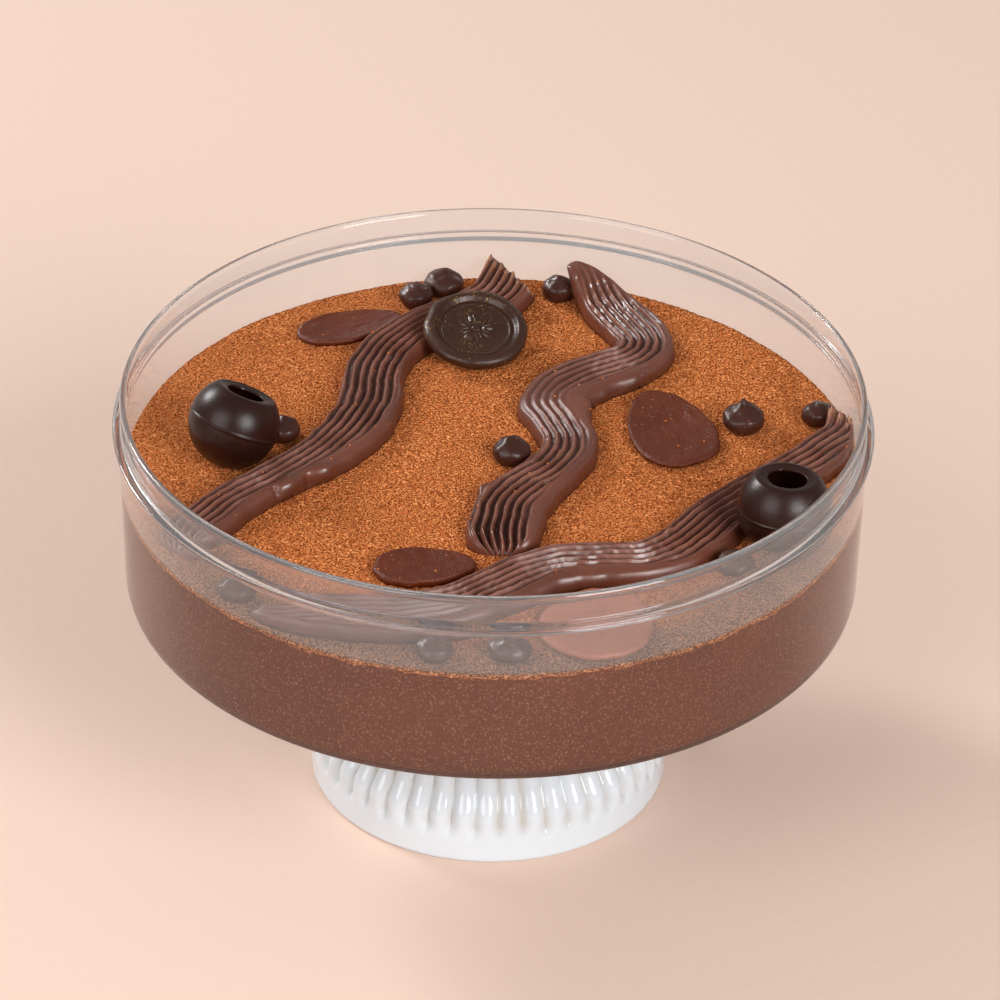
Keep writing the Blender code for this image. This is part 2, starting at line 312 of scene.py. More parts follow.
class Effect(Enum):
    """The effects that several finishes share, as node groups."""

    GRAIN = "grain"
    SPECKS = "specks"
    CRUMBS = "crumbs"
    PATCHES = "patches"

    def tree(self) -> bpy.types.NodeTree:
        """Give the effect's node group, built the first time."""
        label = "effect_" + self.value
        found = bpy.data.node_groups.get(label)
        if found is not None:
            return found
        if self is Effect.GRAIN:
            board, source, out = new_group(label, {"Scale": 1000.0, "Sharpness": 0.5}, ["Height"])
            fine = board.add(
                "TexNoise", Vector=source.outputs["Place"], Scale=source.outputs["Scale"],
                Detail=3.0, Roughness=source.outputs["Sharpness"],
            )
            board.feed(out, Height=board.span(fine.outputs["Fac"], 0.30, 0.70))
        elif self is Effect.CRUMBS:
            board, source, out = new_group(label, {"Scale": 1000.0, "Sharpness": 0.5}, ["Height"])
            bent = board.add(
                "TexNoise", Vector=source.outputs["Place"], Scale=source.outputs["Scale"],
                Detail=2.0, Roughness=source.outputs["Sharpness"], Distortion=0.5,
            )
            board.feed(out, Height=board.span(bent.outputs["Fac"], 0.34, 0.62))
        elif self is Effect.SPECKS:
            board, source, out = new_group(label, {"Scale": 1000.0, "Size": 0.2}, ["Mask"])
            cells = board.add(
                "TexVoronoi", Vector=source.outputs["Place"], Scale=source.outputs["Scale"]
            )
            near = board.tree.nodes.new("ShaderNodeMath")
            near.operation = "LESS_THAN"
            board.tree.links.new(cells.outputs["Distance"], near.inputs[0])
            board.tree.links.new(source.outputs["Size"], near.inputs[1])
            gate = board.add("TexNoise", Vector=source.outputs["Place"], Scale=source.outputs["Scale"])
            kept = board.span(gate.outputs["Fac"], 0.46, 0.52)
            board.feed(out, Mask=board.times(near.outputs[0], kept))
        else:
            board, source, out = new_group(label, {"Scale": 50.0, "Low": 0.4, "High": 0.6}, ["Mask"])
            wide = board.add(
                "TexNoise", Vector=source.outputs["Place"], Scale=source.outputs["Scale"], Detail=2.0
            )
            step = board.add(
                "MapRange", Value=wide.outputs["Fac"],
                From_Min=source.outputs["Low"], From_Max=source.outputs["High"],
            )
            board.feed(out, Mask=step.outputs["Result"])
        return board.tree


@dataclass(frozen=True)
class Finish:
    """What every finish has: a name, a colour and how rough it is."""

    name: str
    color: Color
    roughness: float = 0.5
    shine: float = 0.5

    def material(self) -> bpy.types.Material:
        """Give the finish as a material, built the first time."""
        label = "finish_" + self.name
        found = bpy.data.materials.get(label)
        if found is not None:
            return found
        material = bpy.data.materials.new(label)
        material.use_nodes = True
        board = Board(material.node_tree)
        shader = material.node_tree.nodes["Principled BSDF"]
        board.feed(
            shader, Base_Color=(*self.color, 1.0), Roughness=self.roughness, Specular_IOR_Level=self.shine
        )
        place = board.add("TexCoord").outputs["Object"]
        self.dress(board, shader, place)
        return material

    def dress(self, board: Board, shader: bpy.types.Node, place: bpy.types.NodeSocket) -> None:
        """Add the finish's own pattern. A plain finish has none."""

    def effect(
        self, board: Board, effect: Effect, place: bpy.types.NodeSocket, **values: float
    ) -> bpy.types.NodeSocket:
        """Place a shared effect.

        Args:
            board: The material's board.
            effect: Which effect.
            place: The coordinates that it reads.
            values: Its inputs' values.

        Returns:
            What the effect puts out.
        """
        node = board.tree.nodes.new("ShaderNodeGroup")
        node.node_tree = effect.tree()
        board.feed(node, Place=place, **values)
        return node.outputs[0]

    def relief(
        self, board: Board, shader: bpy.types.Node, height: bpy.types.NodeSocket, depth: float,
        under: bpy.types.Node | None = None,
    ) -> bpy.types.Node:
        """Raise the surface by a height of 0 to 1.

        Args:
            board: The material's board.
            shader: The shader whose normal is set.
            height: The pattern.
            depth: How deep it is, in metres.
            under: A relief that this one lies on.

        Returns:
            The bump node.
        """
        bump = board.add("Bump", Height=height, Distance=depth, Strength=1.0)
        if under is not None:
            board.feed(bump, Normal=under.outputs["Normal"])
        board.feed(shader, Normal=bump.outputs["Normal"])
        return bump


@dataclass(frozen=True)
class ClearPlastic(Finish):
    """Clear plastic that lets lamps through, with a diffuse veil that is partly real haze and partly a painted
    reflection.
    """

    clearness: float = 1.0
    ior: float = 1.49
    # Colour of the veil at the front, where the painted reflection is greyer and weaker.
    front: Color = (0.97, 0.97, 0.97)

    def dress(self, board: Board, shader: bpy.types.Node, place: bpy.types.NodeSocket) -> None:
        """Make the shader clear, and step aside for shadow and scattered rays."""
        board.feed(shader, Transmission_Weight=self.clearness, IOR=self.ior)
        # The base colour drives the diffuse veil: partly real haze, partly a painted reflection of the studio, greyer
        # towards the front.
        depth = board.add("SeparateXYZ", Vector=place).outputs["Y"]
        behind = board.span(depth, -0.070, 0.040)
        board.feed(shader, Base_Color=board.mix(behind, self.front, self.color))
        scratches = self.effect(board, Effect.PATCHES, place, Scale=90.0, Low=0.45, High=0.75)
        board.feed(shader, Roughness=board.span(scratches, 0.0, 1.0, self.roughness, self.roughness * 3.0))
        path = board.add("LightPath")
        either = board.tree.nodes.new("ShaderNodeMath")
        either.operation = "MAXIMUM"
        board.tree.links.new(path.outputs["Is Shadow Ray"], either.inputs[0])
        board.tree.links.new(path.outputs["Is Diffuse Ray"], either.inputs[1])
        mixer = board.add("MixShader", Fac=either.outputs[0])
        away = board.add("BsdfTransparent", Color=(0.93, 0.93, 0.93, 1.0))
        board.tree.links.new(shader.outputs[0], mixer.inputs[1])
        board.tree.links.new(away.outputs[0], mixer.inputs[2])
        out = board.tree.nodes["Material Output"]
        board.tree.links.new(mixer.outputs[0], out.inputs["Surface"])


@dataclass(frozen=True)
class Aerated(Finish):
    """Matte mousse with fine light bubbles."""

    bubble: Color = (0.42, 0.25, 0.18)

    def dress(self, board: Board, shader: bpy.types.Node, place: bpy.types.NodeSocket) -> None:
        """Mottle the brown and scatter bubbles on it."""
        wide = self.effect(board, Effect.PATCHES, place, Scale=45.0, Low=0.3, High=0.7)
        dark = tuple(c * 0.86 for c in self.color)
        light = tuple(c * 1.14 for c in self.color)
        base = board.mix(wide, dark, light)
        fine = self.effect(board, Effect.GRAIN, place, Scale=1500.0, Sharpness=0.7)
        mottled = board.mix(board.times(fine, 0.5), base, tuple(c * 1.7 for c in self.color))
        specks = self.effect(board, Effect.SPECKS, place, Scale=1250.0, Size=0.34)
        color = board.mix(board.times(specks, 0.9), mottled, self.bubble)
        board.feed(shader, Base_Color=color)


@dataclass(frozen=True)
class Powder(Finish):
    """Cocoa powder: fine grains, with painted shade in the pits between them and painted highlights on their tops."""

    # Colour of the painted shade in the pits, also used to darken the thin patches of dusting.
    pit_shade_and_thin_patch: Color = (0.16, 0.055, 0.022)
    # Colour of the painted highlight on the grain tops.
    light: Color = (0.70, 0.30, 0.12)
    bare: Color = (0.050, 0.022, 0.014)
    crust: Color = (0.480, 0.235, 0.120)

    def dress(self, board: Board, shader: bpy.types.Node, place: bpy.types.NodeSocket) -> None:
        """Colour the grains by their height as painted shade and highlights, and darken patches where the dusting is
        thin.
        """
        grain = self.effect(board, Effect.CRUMBS, place, Scale=1900.0, Sharpness=0.55)
        # Painted light: the ramp shades the low places and lightens the grain tops.
        color = board.ramp(grain, [(0.0, self.pit_shade_and_thin_patch), (0.36, self.color), (0.62, self.color), (1.0, self.light)])
        thin = self.effect(board, Effect.PATCHES, place, Scale=26.0, Low=0.50, High=0.76)
        holes = self.effect(board, Effect.PATCHES, place, Scale=420.0, Low=0.50, High=0.62)
        color = board.mix(board.times(board.times(thin, holes), 0.5), color, self.pit_shade_and_thin_patch)
        bare = board.add("Attribute")
        bare.attribute_name = "bare"
        thin_layer = board.ramp(grain, [(0.15, self.bare), (0.85, self.crust)])
        color = board.mix(bare.outputs["Fac"], color, thin_layer)
        board.feed(shader, Base_Color=color)
        self.relief(board, shader, grain, 0.00075)


@dataclass(frozen=True)
class Chocolate(Finish):
    """Chocolate or ganache, with duller and glossier patches, fine pits, cocoa dust, and painted shade and
    highlights.
    """

    gloss_roughness: float = 0.24
    gloss_from: float = 0.55
    grain_depth: float = 0.000012
    dust: float = 0.15
    dust_color: Color = (0.62, 0.27, 0.12)
    # Colour of the painted shade in the comb's grooves and on the ribbons' shaded right-hand side.
    deep: Color = (0.055, 0.012, 0.005)
    # Colour of the painted highlight that lightens the comb's crests in place of their sheen.
    crest_highlight: Color = (0.32, 0.135, 0.095)

    def dress(self, board: Board, shader: bpy.types.Node, place: bpy.types.NodeSocket) -> None:
        """Vary colour and gloss, lay dust, and paint shade and highlights where the piece says so."""
        wide = self.effect(board, Effect.PATCHES, place, Scale=70.0, Low=0.3, High=0.7)
        base = board.mix(wide, tuple(c * 0.85 for c in self.color), tuple(c * 1.15 for c in self.color))
        fine = self.effect(board, Effect.GRAIN, place, Scale=1500.0, Sharpness=0.6)
        specks = self.effect(board, Effect.SPECKS, place, Scale=380.0, Size=0.10)
        speckled = board.mix(board.times(specks, self.dust), base, self.dust_color)
        dusted = board.add("Attribute")
        dusted.attribute_name = "dust"
        cover = board.times(dusted.outputs["Fac"], board.span(fine, 0.15, 0.75))
        color = board.mix(cover, speckled, self.dust_color)
        # Painted shade: the groove attribute darkens the colour in the comb's grooves and on the ribbons' right-hand
        # side.
        valley = board.add("Attribute")
        valley.attribute_name = "groove"
        color = board.mix(board.times(valley.outputs["Fac"], 0.95), color, self.deep)
        # Painted highlight: the comb's crests are lightened to stand in for their sheen.
        crest_highlight_node = board.add("Attribute")
        crest_highlight_node.attribute_name = "crest_highlight"
        color = board.mix(board.times(crest_highlight_node.outputs["Fac"], 0.70), color, self.crest_highlight)
        glossy = self.effect(
            board, Effect.PATCHES, place, Scale=55.0, Low=self.gloss_from, High=self.gloss_from + 0.12
        )
        wet = board.add("Attribute")
        wet.attribute_name = "wet"
        shiny = board.larger(glossy, wet.outputs["Fac"])
        roughness = board.span(shiny, 0.0, 1.0, self.roughness, self.gloss_roughness)
        board.feed(shader, Base_Color=color, Roughness=roughness)
        self.relief(board, shader, fine, self.grain_depth)


@dataclass(frozen=True)
class GoldDusted(Chocolate):
    """Dark chocolate with faint gold dust."""

    gold: Color = (0.44, 0.27, 0.11)

    def dress(self, board: Board, shader: bpy.types.Node, place: bpy.types.NodeSocket) -> None:
        """Scatter gold specks over the dark chocolate."""
        super().dress(board, shader, place)
        under = shader.inputs["Base Color"].links[0].from_socket
        specks = self.effect(board, Effect.SPECKS, place, Scale=1500.0, Size=0.30)
        where = self.effect(board, Effect.PATCHES, place, Scale=130.0, Low=0.44, High=0.66)
        mask = board.times(specks, where)
        board.feed(shader, Base_Color=board.mix(mask, under, self.gold), Metallic=board.times(mask, 0.7))


@dataclass(frozen=True)
class Glaze(Finish):
    """White glazed ceramic, with painted shade in a darker, warmer tone along the flute grooves."""

    groove_shade: Color = (0.78, 0.72, 0.64)

    def dress(self, board: Board, shader: bpy.types.Node, place: bpy.types.NodeSocket) -> None:
        """Paint shade into the grooves and ripple the glaze slightly."""
        groove = board.add("Attribute")
        groove.attribute_name = "groove"
        patches = self.effect(board, Effect.PATCHES, place, Scale=60.0, Low=0.35, High=0.65)
        # Painted shade: the groove depth, broken up by patches, darkens the glaze to a warm grey in the flutes.
        share = board.times(board.times(groove.outputs["Fac"], patches), 0.8)
        board.feed(shader, Base_Color=board.mix(share, self.color, self.groove_shade), Coat_Weight=0.3)
        ripple = self.effect(board, Effect.GRAIN, place, Scale=120.0, Sharpness=0.3)
        self.relief(board, shader, ripple, 0.00006)


@dataclass(frozen=True)
class Plaster(Finish):
    """A plain painted table top with a faint trowelled grain."""

    def dress(self, board: Board, shader: bpy.types.Node, place: bpy.types.NodeSocket) -> None:
        """Give the paint its faint grain."""
        grain = self.effect(board, Effect.GRAIN, place, Scale=260.0, Sharpness=0.5)
        self.relief(board, shader, grain, 0.00004)


CLEAR_PLASTIC = ClearPlastic("clear_plastic", (0.97, 0.97, 0.97), 0.02, clearness=0.985)
# The rim band's plastic carries a stronger diffuse veil, partly haze and partly a painted reflection.
HAZE_AND_VEIL_PLASTIC = ClearPlastic(
    "haze_and_veil_plastic", (0.96, 0.965, 0.97), 0.03, clearness=0.94, front=(0.77, 0.79, 0.82)
)
MOUSSE = Aerated("mousse", (0.088, 0.0205, 0.0055), 0.8, 0.1, bubble=(0.23, 0.10, 0.06))
COCOA = Powder(
    "cocoa_powder", (0.880, 0.222, 0.052), 0.95, 0.05, pit_shade_and_thin_patch=(0.16, 0.034, 0.008), light=(0.98, 0.37, 0.13)
)
LOOSE_COCOA = Finish("loose_cocoa", (0.66, 0.19, 0.055), 0.95, 0.05)
GANACHE = Chocolate("ganache", (0.150, 0.044, 0.024), 0.42, 0.60, gloss_roughness=0.26, dust=0.1)
GLOSSY = Chocolate(
    "glossy_chocolate", (0.118, 0.0200, 0.0045), 0.36, 0.36, gloss_roughness=0.20, gloss_from=0.50,
    grain_depth=0.00011, dust=0.5,
)
SMEARED = Chocolate("smeared_chocolate", (0.400, 0.130, 0.065), 0.45, 0.30, gloss_roughness=0.32, dust=0.3)
DARK = Chocolate("dark_chocolate", (0.021, 0.0046, 0.0028), 0.34, 0.32, gloss_roughness=0.29, dust=0.05)
DROP = Chocolate("drop_chocolate", (0.050, 0.013, 0.007), 0.36, 0.38, gloss_roughness=0.24, dust=0.35)
SEAL_CHOCOLATE = GoldDusted(
    "seal_chocolate", (0.043, 0.014, 0.006), 0.36, 0.38, gloss_roughness=0.28, dust=0.2
)
WHITE_GLAZE = Glaze("white_glaze", (0.72, 0.785, 0.84), 0.09, groove_shade=(0.58, 0.53, 0.46))
TABLE = Plaster("table", (0.865, 0.650, 0.540), 0.75, 0.2)


# ---------------------------------------------------------------- tub, filling and foot


@dataclass
class Tub:
    """The clear round tub: a thin rim band, a ledge below it and a slightly tapered wall."""

    rim_top: float = TUB_HIGH.z
    bottom: float = TUB_LOW.z
    ledge_outer: float = TUB_HIGH.x
    floor_thickness: float = 1.4 * MM
    band_drop: float = 8.8 * MM
    band_outer: float = 99.6 * MM
    band_inner: float = 98.2 * MM
    wall_outer: float = 100.6 * MM
    wall_inner: float = 99.1 * MM
    base_outer: float = 99.8 * MM
    base_inner: float = 98.4 * MM
    base_round: float = 2.2 * MM
    steps: int = 224

    @property
    def floor(self) -> float:
        """The height of the tub's inner bottom."""
        return self.bottom + self.floor_thickness

    def inner_at(self, height: float) -> float:
        """Give the inner radius of the wall at a height below the ledge."""
        low = self.floor + self.base_round
        high = self.rim_top - self.band_drop - 2.2 * MM
        share = (height - low) / (high - low)
        return self.base_inner + (self.wall_inner - self.base_inner) * share

    def build(self) -> None:
        """Turn the tub's wall in one closed profile."""
        ledge = self.rim_top - self.band_drop
        inside = [
            (0.0, self.floor), (self.base_inner - 0.3 * MM, self.floor),
            (self.base_inner, self.floor + self.base_round), (self.inner_at(COCOA_TOP), COCOA_TOP),
            (self.wall_inner, ledge - 2.2 * MM),
            (self.band_inner, ledge), (self.band_inner, self.rim_top - 0.2 * MM),
            (self.band_inner + 0.4 * MM, self.rim_top),
        ]
        outside = [
            (self.band_outer - 0.2 * MM, self.rim_top), (self.band_outer + 0.4 * MM, self.rim_top - 0.9 * MM),
            (self.band_outer, self.rim_top - 1.9 * MM), (self.band_outer, ledge + 1.0 * MM),
            (self.ledge_outer, ledge + 0.5 * MM), (self.ledge_outer, ledge - 0.8 * MM),
            (self.wall_outer, ledge - 1.8 * MM), (self.wall_outer - 0.35 * MM, COCOA_TOP),
            (self.base_outer, self.bottom + self.base_round),
            (self.base_outer - 0.4 * MM, self.bottom), (0.0, self.bottom),
        ]
        bm = turned(rounded(inside + outside, 0.7 * MM), self.steps)
        tub = finished("clear_tub", bm, CLEAR_PLASTIC.material(), "clear_plastic", "tub")
        tub.data.materials.append(HAZE_AND_VEIL_PLASTIC.material())
        for face in tub.data.polygons:
            face.material_index = int(face.center.z > COCOA_TOP)


@dataclass
class Filling:
    """The mousse and the cocoa on it, which both reach just into the tub's wall."""

    tub: Tub
    shells: list["HollowShell"]
    steps: int = 224
    grid: int = 326
    swell: float = 0.22 * MM
    grain: float = 0.20 * MM

    def build_mousse(self) -> None:
        """Turn the mousse, out to just inside the wall's plastic."""
        low = self.tub.floor - INTO_WALL
        top = COCOA_TOP - 0.8 * MM
        profile = [
            (0.0, top), (self.tub.inner_at(top) + INTO_WALL, top),
            (self.tub.base_inner + INTO_WALL, self.tub.floor + self.tub.base_round),
            (self.tub.base_inner - 0.2 * MM, low), (0.0, low),
        ]
        bm = turned(rounded(profile, 1.6 * MM), self.steps)
        finished("mousse_body", bm, MOUSSE.material(), "mousse", "mousse")

    def height_at(self, x: float, y: float) -> float:
        """Give the height of the cocoa's surface.

        Args:
            x: The place along X.
            y: The place along Y.

        Returns:
            The height, with the dents under the hollow shells.
        """
        spot = Vector((x, y, 0.0))
        height = COCOA_TOP + self.swell * rough(spot, 16.0) + 0.5 * self.swell * rough(spot, 5.0, 3.0)
        height += self.grain * (rough(spot, 1.5, 5.0) + 0.8 * rough(spot, 0.85, 9.0))
        for shell in self.shells:
            height = shell.pressed(x, y, height)
        return height

    def build_cocoa(self) -> bmesh.types.BMesh:
        """Shape the cocoa from a fine grid, cut round, with a skirt that runs down at the wall.

        Returns:
            A copy of the shape, for other pieces to lie on.
        """
        edge = self.tub.inner_at(COCOA_TOP) + INTO_WALL
        bm = bmesh.new()
        bmesh.ops.create_grid(bm, x_segments=self.grid, y_segments=self.grid, size=edge)
        outside = [v for v in bm.verts if hypot(v.co.x, v.co.y) > edge]
        bmesh.ops.delete(bm, geom=outside, context="VERTS")
        rim = [e for e in bm.edges if e.is_boundary]
        for vert in {v for e in rim for v in e.verts}:
            vert.co *= edge / vert.co.length
        bare = bm.verts.layers.float.new("bare")
        for vert in bm.verts:
            vert.co.z = self.height_at(vert.co.x, vert.co.y)
            out = hypot(vert.co.x, vert.co.y)
            thinned = smooth_step(76.0 * MM, 90.0 * MM, out + 6.0 * MM * rough(vert.co, 14.0, 6.0))
            vert[bare] = 0.8 * thinned * smooth_step(-0.10, -0.55, vert.co.y / max(out, MM))
        skirt = bmesh.ops.extrude_edge_only(bm, edges=rim)["geom"]
        for vert in [g for g in skirt if isinstance(g, bmesh.types.BMVert)]:
            ragged = rough(vert.co, 7.0, 2.0) + 0.8 * rough(vert.co, 2.2, 4.0)
            vert[bare] = 0.45
            vert.co.z = COCOA_TOP - (1.5 + 0.75 * ragged) * MM
        lower = [e for e in bm.edges if e.is_boundary]
        inward = bmesh.ops.extrude_edge_only(bm, edges=lower)["geom"]
        inner = [g for g in inward if isinstance(g, bmesh.types.BMVert)]
        for vert in inner:
            vert.co = Vector((vert.co.x * 0.985, vert.co.y * 0.985, COCOA_TOP - 2.4 * MM))
        bmesh.ops.contextual_create(bm, geom=[e for e in bm.edges if e.is_boundary])
        bmesh.ops.recalc_face_normals(bm, faces=bm.faces)
        kept = bm.copy()
        finished("cocoa_dusting", bm, COCOA.material(), "cocoa_powder", "cocoa_layer")
        return kept


@dataclass
class Foot:
    """The white fluted foot: a smooth band at the floor, and flutes that fade in above it."""

    radius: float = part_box("fluted_foot")[1].x
    top: float = TUB_LOW.z - INTO_WALL
    flutes: int = 46
    flute_depth: float = 2.0 * MM
    waist: float = 30.0 * MM
    steps_per_flute: int = 12
    rows: int = 72

    def radius_at(self, height: float) -> float:
        """Give the foot's radius at a height, before the flutes are cut."""
        heights = [0.0, 14.0 * MM, 19.5 * MM, 32.0 * MM, 50.0 * MM, self.top]
        insets = [0.0, 0.7 * MM, 4.4 * MM, 9.8 * MM]
        radii = [self.radius - inset for inset in insets] + [self.waist, 34.5 * MM]
        near = [height + 0.7 * MM * i for i in range(-2, 3)]
        return float(np.mean(np.interp(near, heights, radii)))

    def build(self) -> None:
        """Turn the foot and cut its flutes, and mark their grooves for the glaze's painted shade."""
        profile = [(0.0, 0.0), (self.radius - 0.8 * MM, 0.0)]
        for i in range(self.rows + 1):
            height = 0.6 * MM + (self.top - 0.6 * MM) * i / self.rows
            profile.append((self.radius_at(height), height))
        profile.append((0.0, self.top))
        bm = turned(profile, self.flutes * self.steps_per_flute)
        # The groove depth is also read by the glaze as painted shade in the flutes.
        groove = bm.verts.layers.float.new("groove")
        for vert in bm.verts:
            out = hypot(vert.co.x, vert.co.y)
            if out < self.waist * 0.9:
                continue
            turn = self.flutes * atan2(vert.co.y, vert.co.x)
            cut = 1.0 - abs(sin(turn / 2.0)) ** 0.75
            uneven = noise.noise(Vector((vert.co.x, vert.co.y, 0.0)) / (7.0 * MM))
            start = smooth_step(6.8 * MM, (11.0 + 2.5 * uneven) * MM, vert.co.z)
            cut *= start * (1.0 + 0.25 * uneven) * (1.0 - 0.7 * smooth_step(30.0 * MM, self.top, vert.co.z))
            vert[groove] = cut
            share = (out - cut * self.flute_depth) / out
            vert.co.x *= share
            vert.co.y *= share
        finished("glazed_foot", bm, WHITE_GLAZE.material(), "white_glaze", "fluted_foot")


# ---------------------------------------------------------------- ribbons


class End(Enum):
    """How a ribbon ends."""

    NOSE = "rounded nose"
    TORN = "torn edge"


@dataclass
class Ribbon:
    """A ganache ribbon drawn with a toothed comb, smooth on the right of the way it runs.

    Each stop along it holds, in millimetres: x, y, half width, lift of its underside, depth of the
    comb's grooves, and width of the smooth band.
    """

    name: str
    stops: list[tuple[float, ...]]
    lip: float = 1.0
    back_end: End = End.NOSE
    end_skew: float = 0.0
    height: float = 4.6
    sunk: float = 0.5
    pitch: float = 2.4
    step: float = 0.5
    across: int = 120
    under: int = 6
    nose: float = 6.5
    comb_share: float = 1.2
    lumps: list[tuple[float, float, float, float]] = field(default_factory=list)
    wet_spots: list[tuple[float, float, float]] = field(default_factory=list)

    def stop_at(self, t: float) -> np.ndarray:
        """Give the values between the stops, on a Catmull-Rom curve.

        Args:
            t: The place, whose whole part counts the stops.

        Returns:
            The values that a stop holds.
        """
        last = len(self.stops) - 1
        i = min(int(t), last - 1)
        f = t - i
        before, here, after, beyond = (
            np.array(self.stops[max(0, min(last, k))]) for k in (i - 1, i, i + 1, i + 2)
        )
        return 0.5 * (
            2.0 * here + (after - before) * f + (2.0 * before - 5.0 * here + 4.0 * after - beyond) * f**2
            + (3.0 * here - before - 3.0 * after + beyond) * f**3
        )

    def walk(self) -> list[tuple[float, float]]:
        """Step evenly along the ribbon.

        Returns:
            For each station its place on the curve and its distance from the start.
        """
        last = len(self.stops) - 1
        fine = [last * i / 2000 for i in range(2001)]
        spots = [self.stop_at(t)[:2] for t in fine]
        run = [0.0]
        for a, b in zip(spots, spots[1:]):
            run.append(run[-1] + float(np.hypot(*(b - a))))
        count = round(run[-1] / self.step)
        marks = [run[-1] * i / count for i in range(count + 1)]
        return [(float(np.interp(m, run, fine)), m) for m in marks]

    def rise(self, s: float, half: float, depth: float, band: float, run: float) -> tuple[float, float, float]:
        """Give the height of the ribbon's top over its underside.

        Args:
            s: The place across, from -1 at the left edge to 1 at the right.
            half: Half the ribbon's width.
            depth: How deep the comb's grooves are.
            band: The width of the smooth band.
            run: The distance along the ribbon.

        Returns:
            The height in millimetres, then the painted shade and the painted highlight on the crests, both from 0 to
            1.
        """
        crown = sqrt(max(0.0, 1.0 - abs(s) ** 8))
        from_left = (s + 1.0) * half
        spot = Vector((run, from_left * 0.4, 0.0))
        wander = 0.50 * noise.noise(spot / 9.0) + 0.22 * noise.noise(spot / 2.6)
        tooth = (from_left + wander - self.lip) / self.pitch
        off = 1.0 - abs(2.0 * (tooth - floor(tooth)) - 1.0)
        off = sqrt(off * off + 0.012) - sqrt(0.012)
        groove = 1.0 - (1.0 - min(1.0, off * 1.12)) ** 1.9
        combed = smooth_step(self.lip * 0.3, self.lip + 0.5, from_left)
        combed *= smooth_step(2.0 * half - band * 0.55, 2.0 * half - band * 1.35, from_left)
        line = Vector((run / 5.0, floor(tooth + 0.5) * 3.1, 0.0))
        uneven = 1.0 + 0.25 * noise.noise(line)
        top = self.height * min(1.0, half / 6.5) * crown * (1.0 + 0.06 * noise.noise(spot / 12.0))
        knot = noise.noise(Vector((run / 2.2, floor(tooth + 0.5) * 5.7, 4.0)))
        top += 0.24 * crown * knot * combed
        valley = groove * combed * crown
        # Painted shade on the ribbon's right-hand side, which faces away from the key light.
        side = 0.5 * smooth_step(0.92, 0.35, crown) * (s > 0.0)
        shade = max(side, valley * min(1.0, depth))
        faded = smooth_step(-0.35, 0.35, noise.noise(Vector((run / 9.0, from_left / 6.0, 9.0))))
        # Painted highlight on the crests, standing in for the sheen from the key light.
        crest_highlight = combed * smooth_step(0.75, 0.0, off) * smooth_step(0.4, 0.9, crown) * (0.45 + 0.55 * faded)
        return max(0.0, top - self.comb_share * depth * valley * uneven), shade, crest_highlight * min(1.0, depth)

    def lump_at(self, x: float, y: float) -> float:
        """Give how far a lump raises the ribbon at a place."""
        return sum(
            high * exp(-((x - lx) ** 2 + (y - ly) ** 2) / (size * size)) for lx, ly, size, high in self.lumps
        )

    def wet_at(self, x: float, y: float) -> float:
        """Give how wet the ribbon looks at a place, from 0 to 1."""
        return min(1.0, sum(exp(-((x - wx) ** 2 + (y - wy) ** 2) / (size * size)) for wx, wy, size in self.wet_spots))

    def shape(self) -> bmesh.types.BMesh:
        """Wrap a grid round the comb's sections, and close its ends.

        Returns:
            The ribbon in place.
        """
        stations = self.walk()
        length = stations[-1][1]
        frames = [self.section_frame(t, run, length) for t, run in stations]
        bm = bmesh.new()
        around = self.across + self.under
        bmesh.ops.create_grid(bm, x_segments=len(stations) - 1, y_segments=around, size=1.0)
        dust = bm.verts.layers.float.new("dust")
        # This layer holds the painted shade of the grooves and of the right-hand side.
        valley = bm.verts.layers.float.new("groove")
        crest_highlight = bm.verts.layers.float.new("crest_highlight")
        wet = bm.verts.layers.float.new("wet")
        for vert in bm.verts:
            along = round((vert.co.x + 1.0) / 2.0 * (len(stations) - 1))
            ring = round((vert.co.y + 1.0) / 2.0 * around)
            vert.co, vert[dust], vert[valley], vert[crest_highlight] = self.place(frames[along], ring)
            vert[wet] = self.wet_at(vert.co.x / MM, vert.co.y / MM)
        bmesh.ops.remove_doubles(bm, verts=bm.verts, dist=1e-7)
        ends = [e for e in bm.edges if e.is_boundary]
        bmesh.ops.holes_fill(bm, edges=ends, sides=0)
        bmesh.ops.recalc_face_normals(bm, faces=bm.faces)
        return bm

    def section_frame(self, t: float, run: float, length: float) -> dict[str, object]:
        """Work out what a section needs to be placed."""
        last = len(self.stops) - 1
        here = self.stop_at(t)
        ahead = self.stop_at(min(t + 0.05, last))
        behind = self.stop_at(max(t - 0.05, 0.0))
        delta = ahead - behind
        way = Vector((delta[0], delta[1], delta[3])).normalized()
        right = Vector((way.y, -way.x, 0.0)).normalized()
        front = min(1.0, run / self.nose)
        back = min(1.0, (length - run) / self.nose) if self.back_end is End.NOSE else 1.0
        close = sqrt(max(0.0, 1.0 - (1.0 - min(front, back)) ** 2.2))
        return {
            "here": here, "way": way, "right": right, "up": right.cross(way), "run": run,
            "left": length - run, "wide": 0.45 + 0.55 * close, "high": 0.12 + 0.88 * close,
        }

    def place(self, station: dict[str, object], ring: int) -> tuple[Vector, float, float, float]:
        """Place one point of a section.

        Args:
            station: What section_frame gave.
            ring: The point's number round the section, from the left edge over the top.

        Returns:
            The point in metres, how much cocoa dust lies on it, its painted shade and its painted highlight.
        """
        x, y, half, lift, depth, band = station["here"]
        run = station["run"]
        if ring <= self.across:
            w = ring / self.across
            s = 0.62 * -cos(pi * w) + 0.38 * (2.0 * w - 1.0)
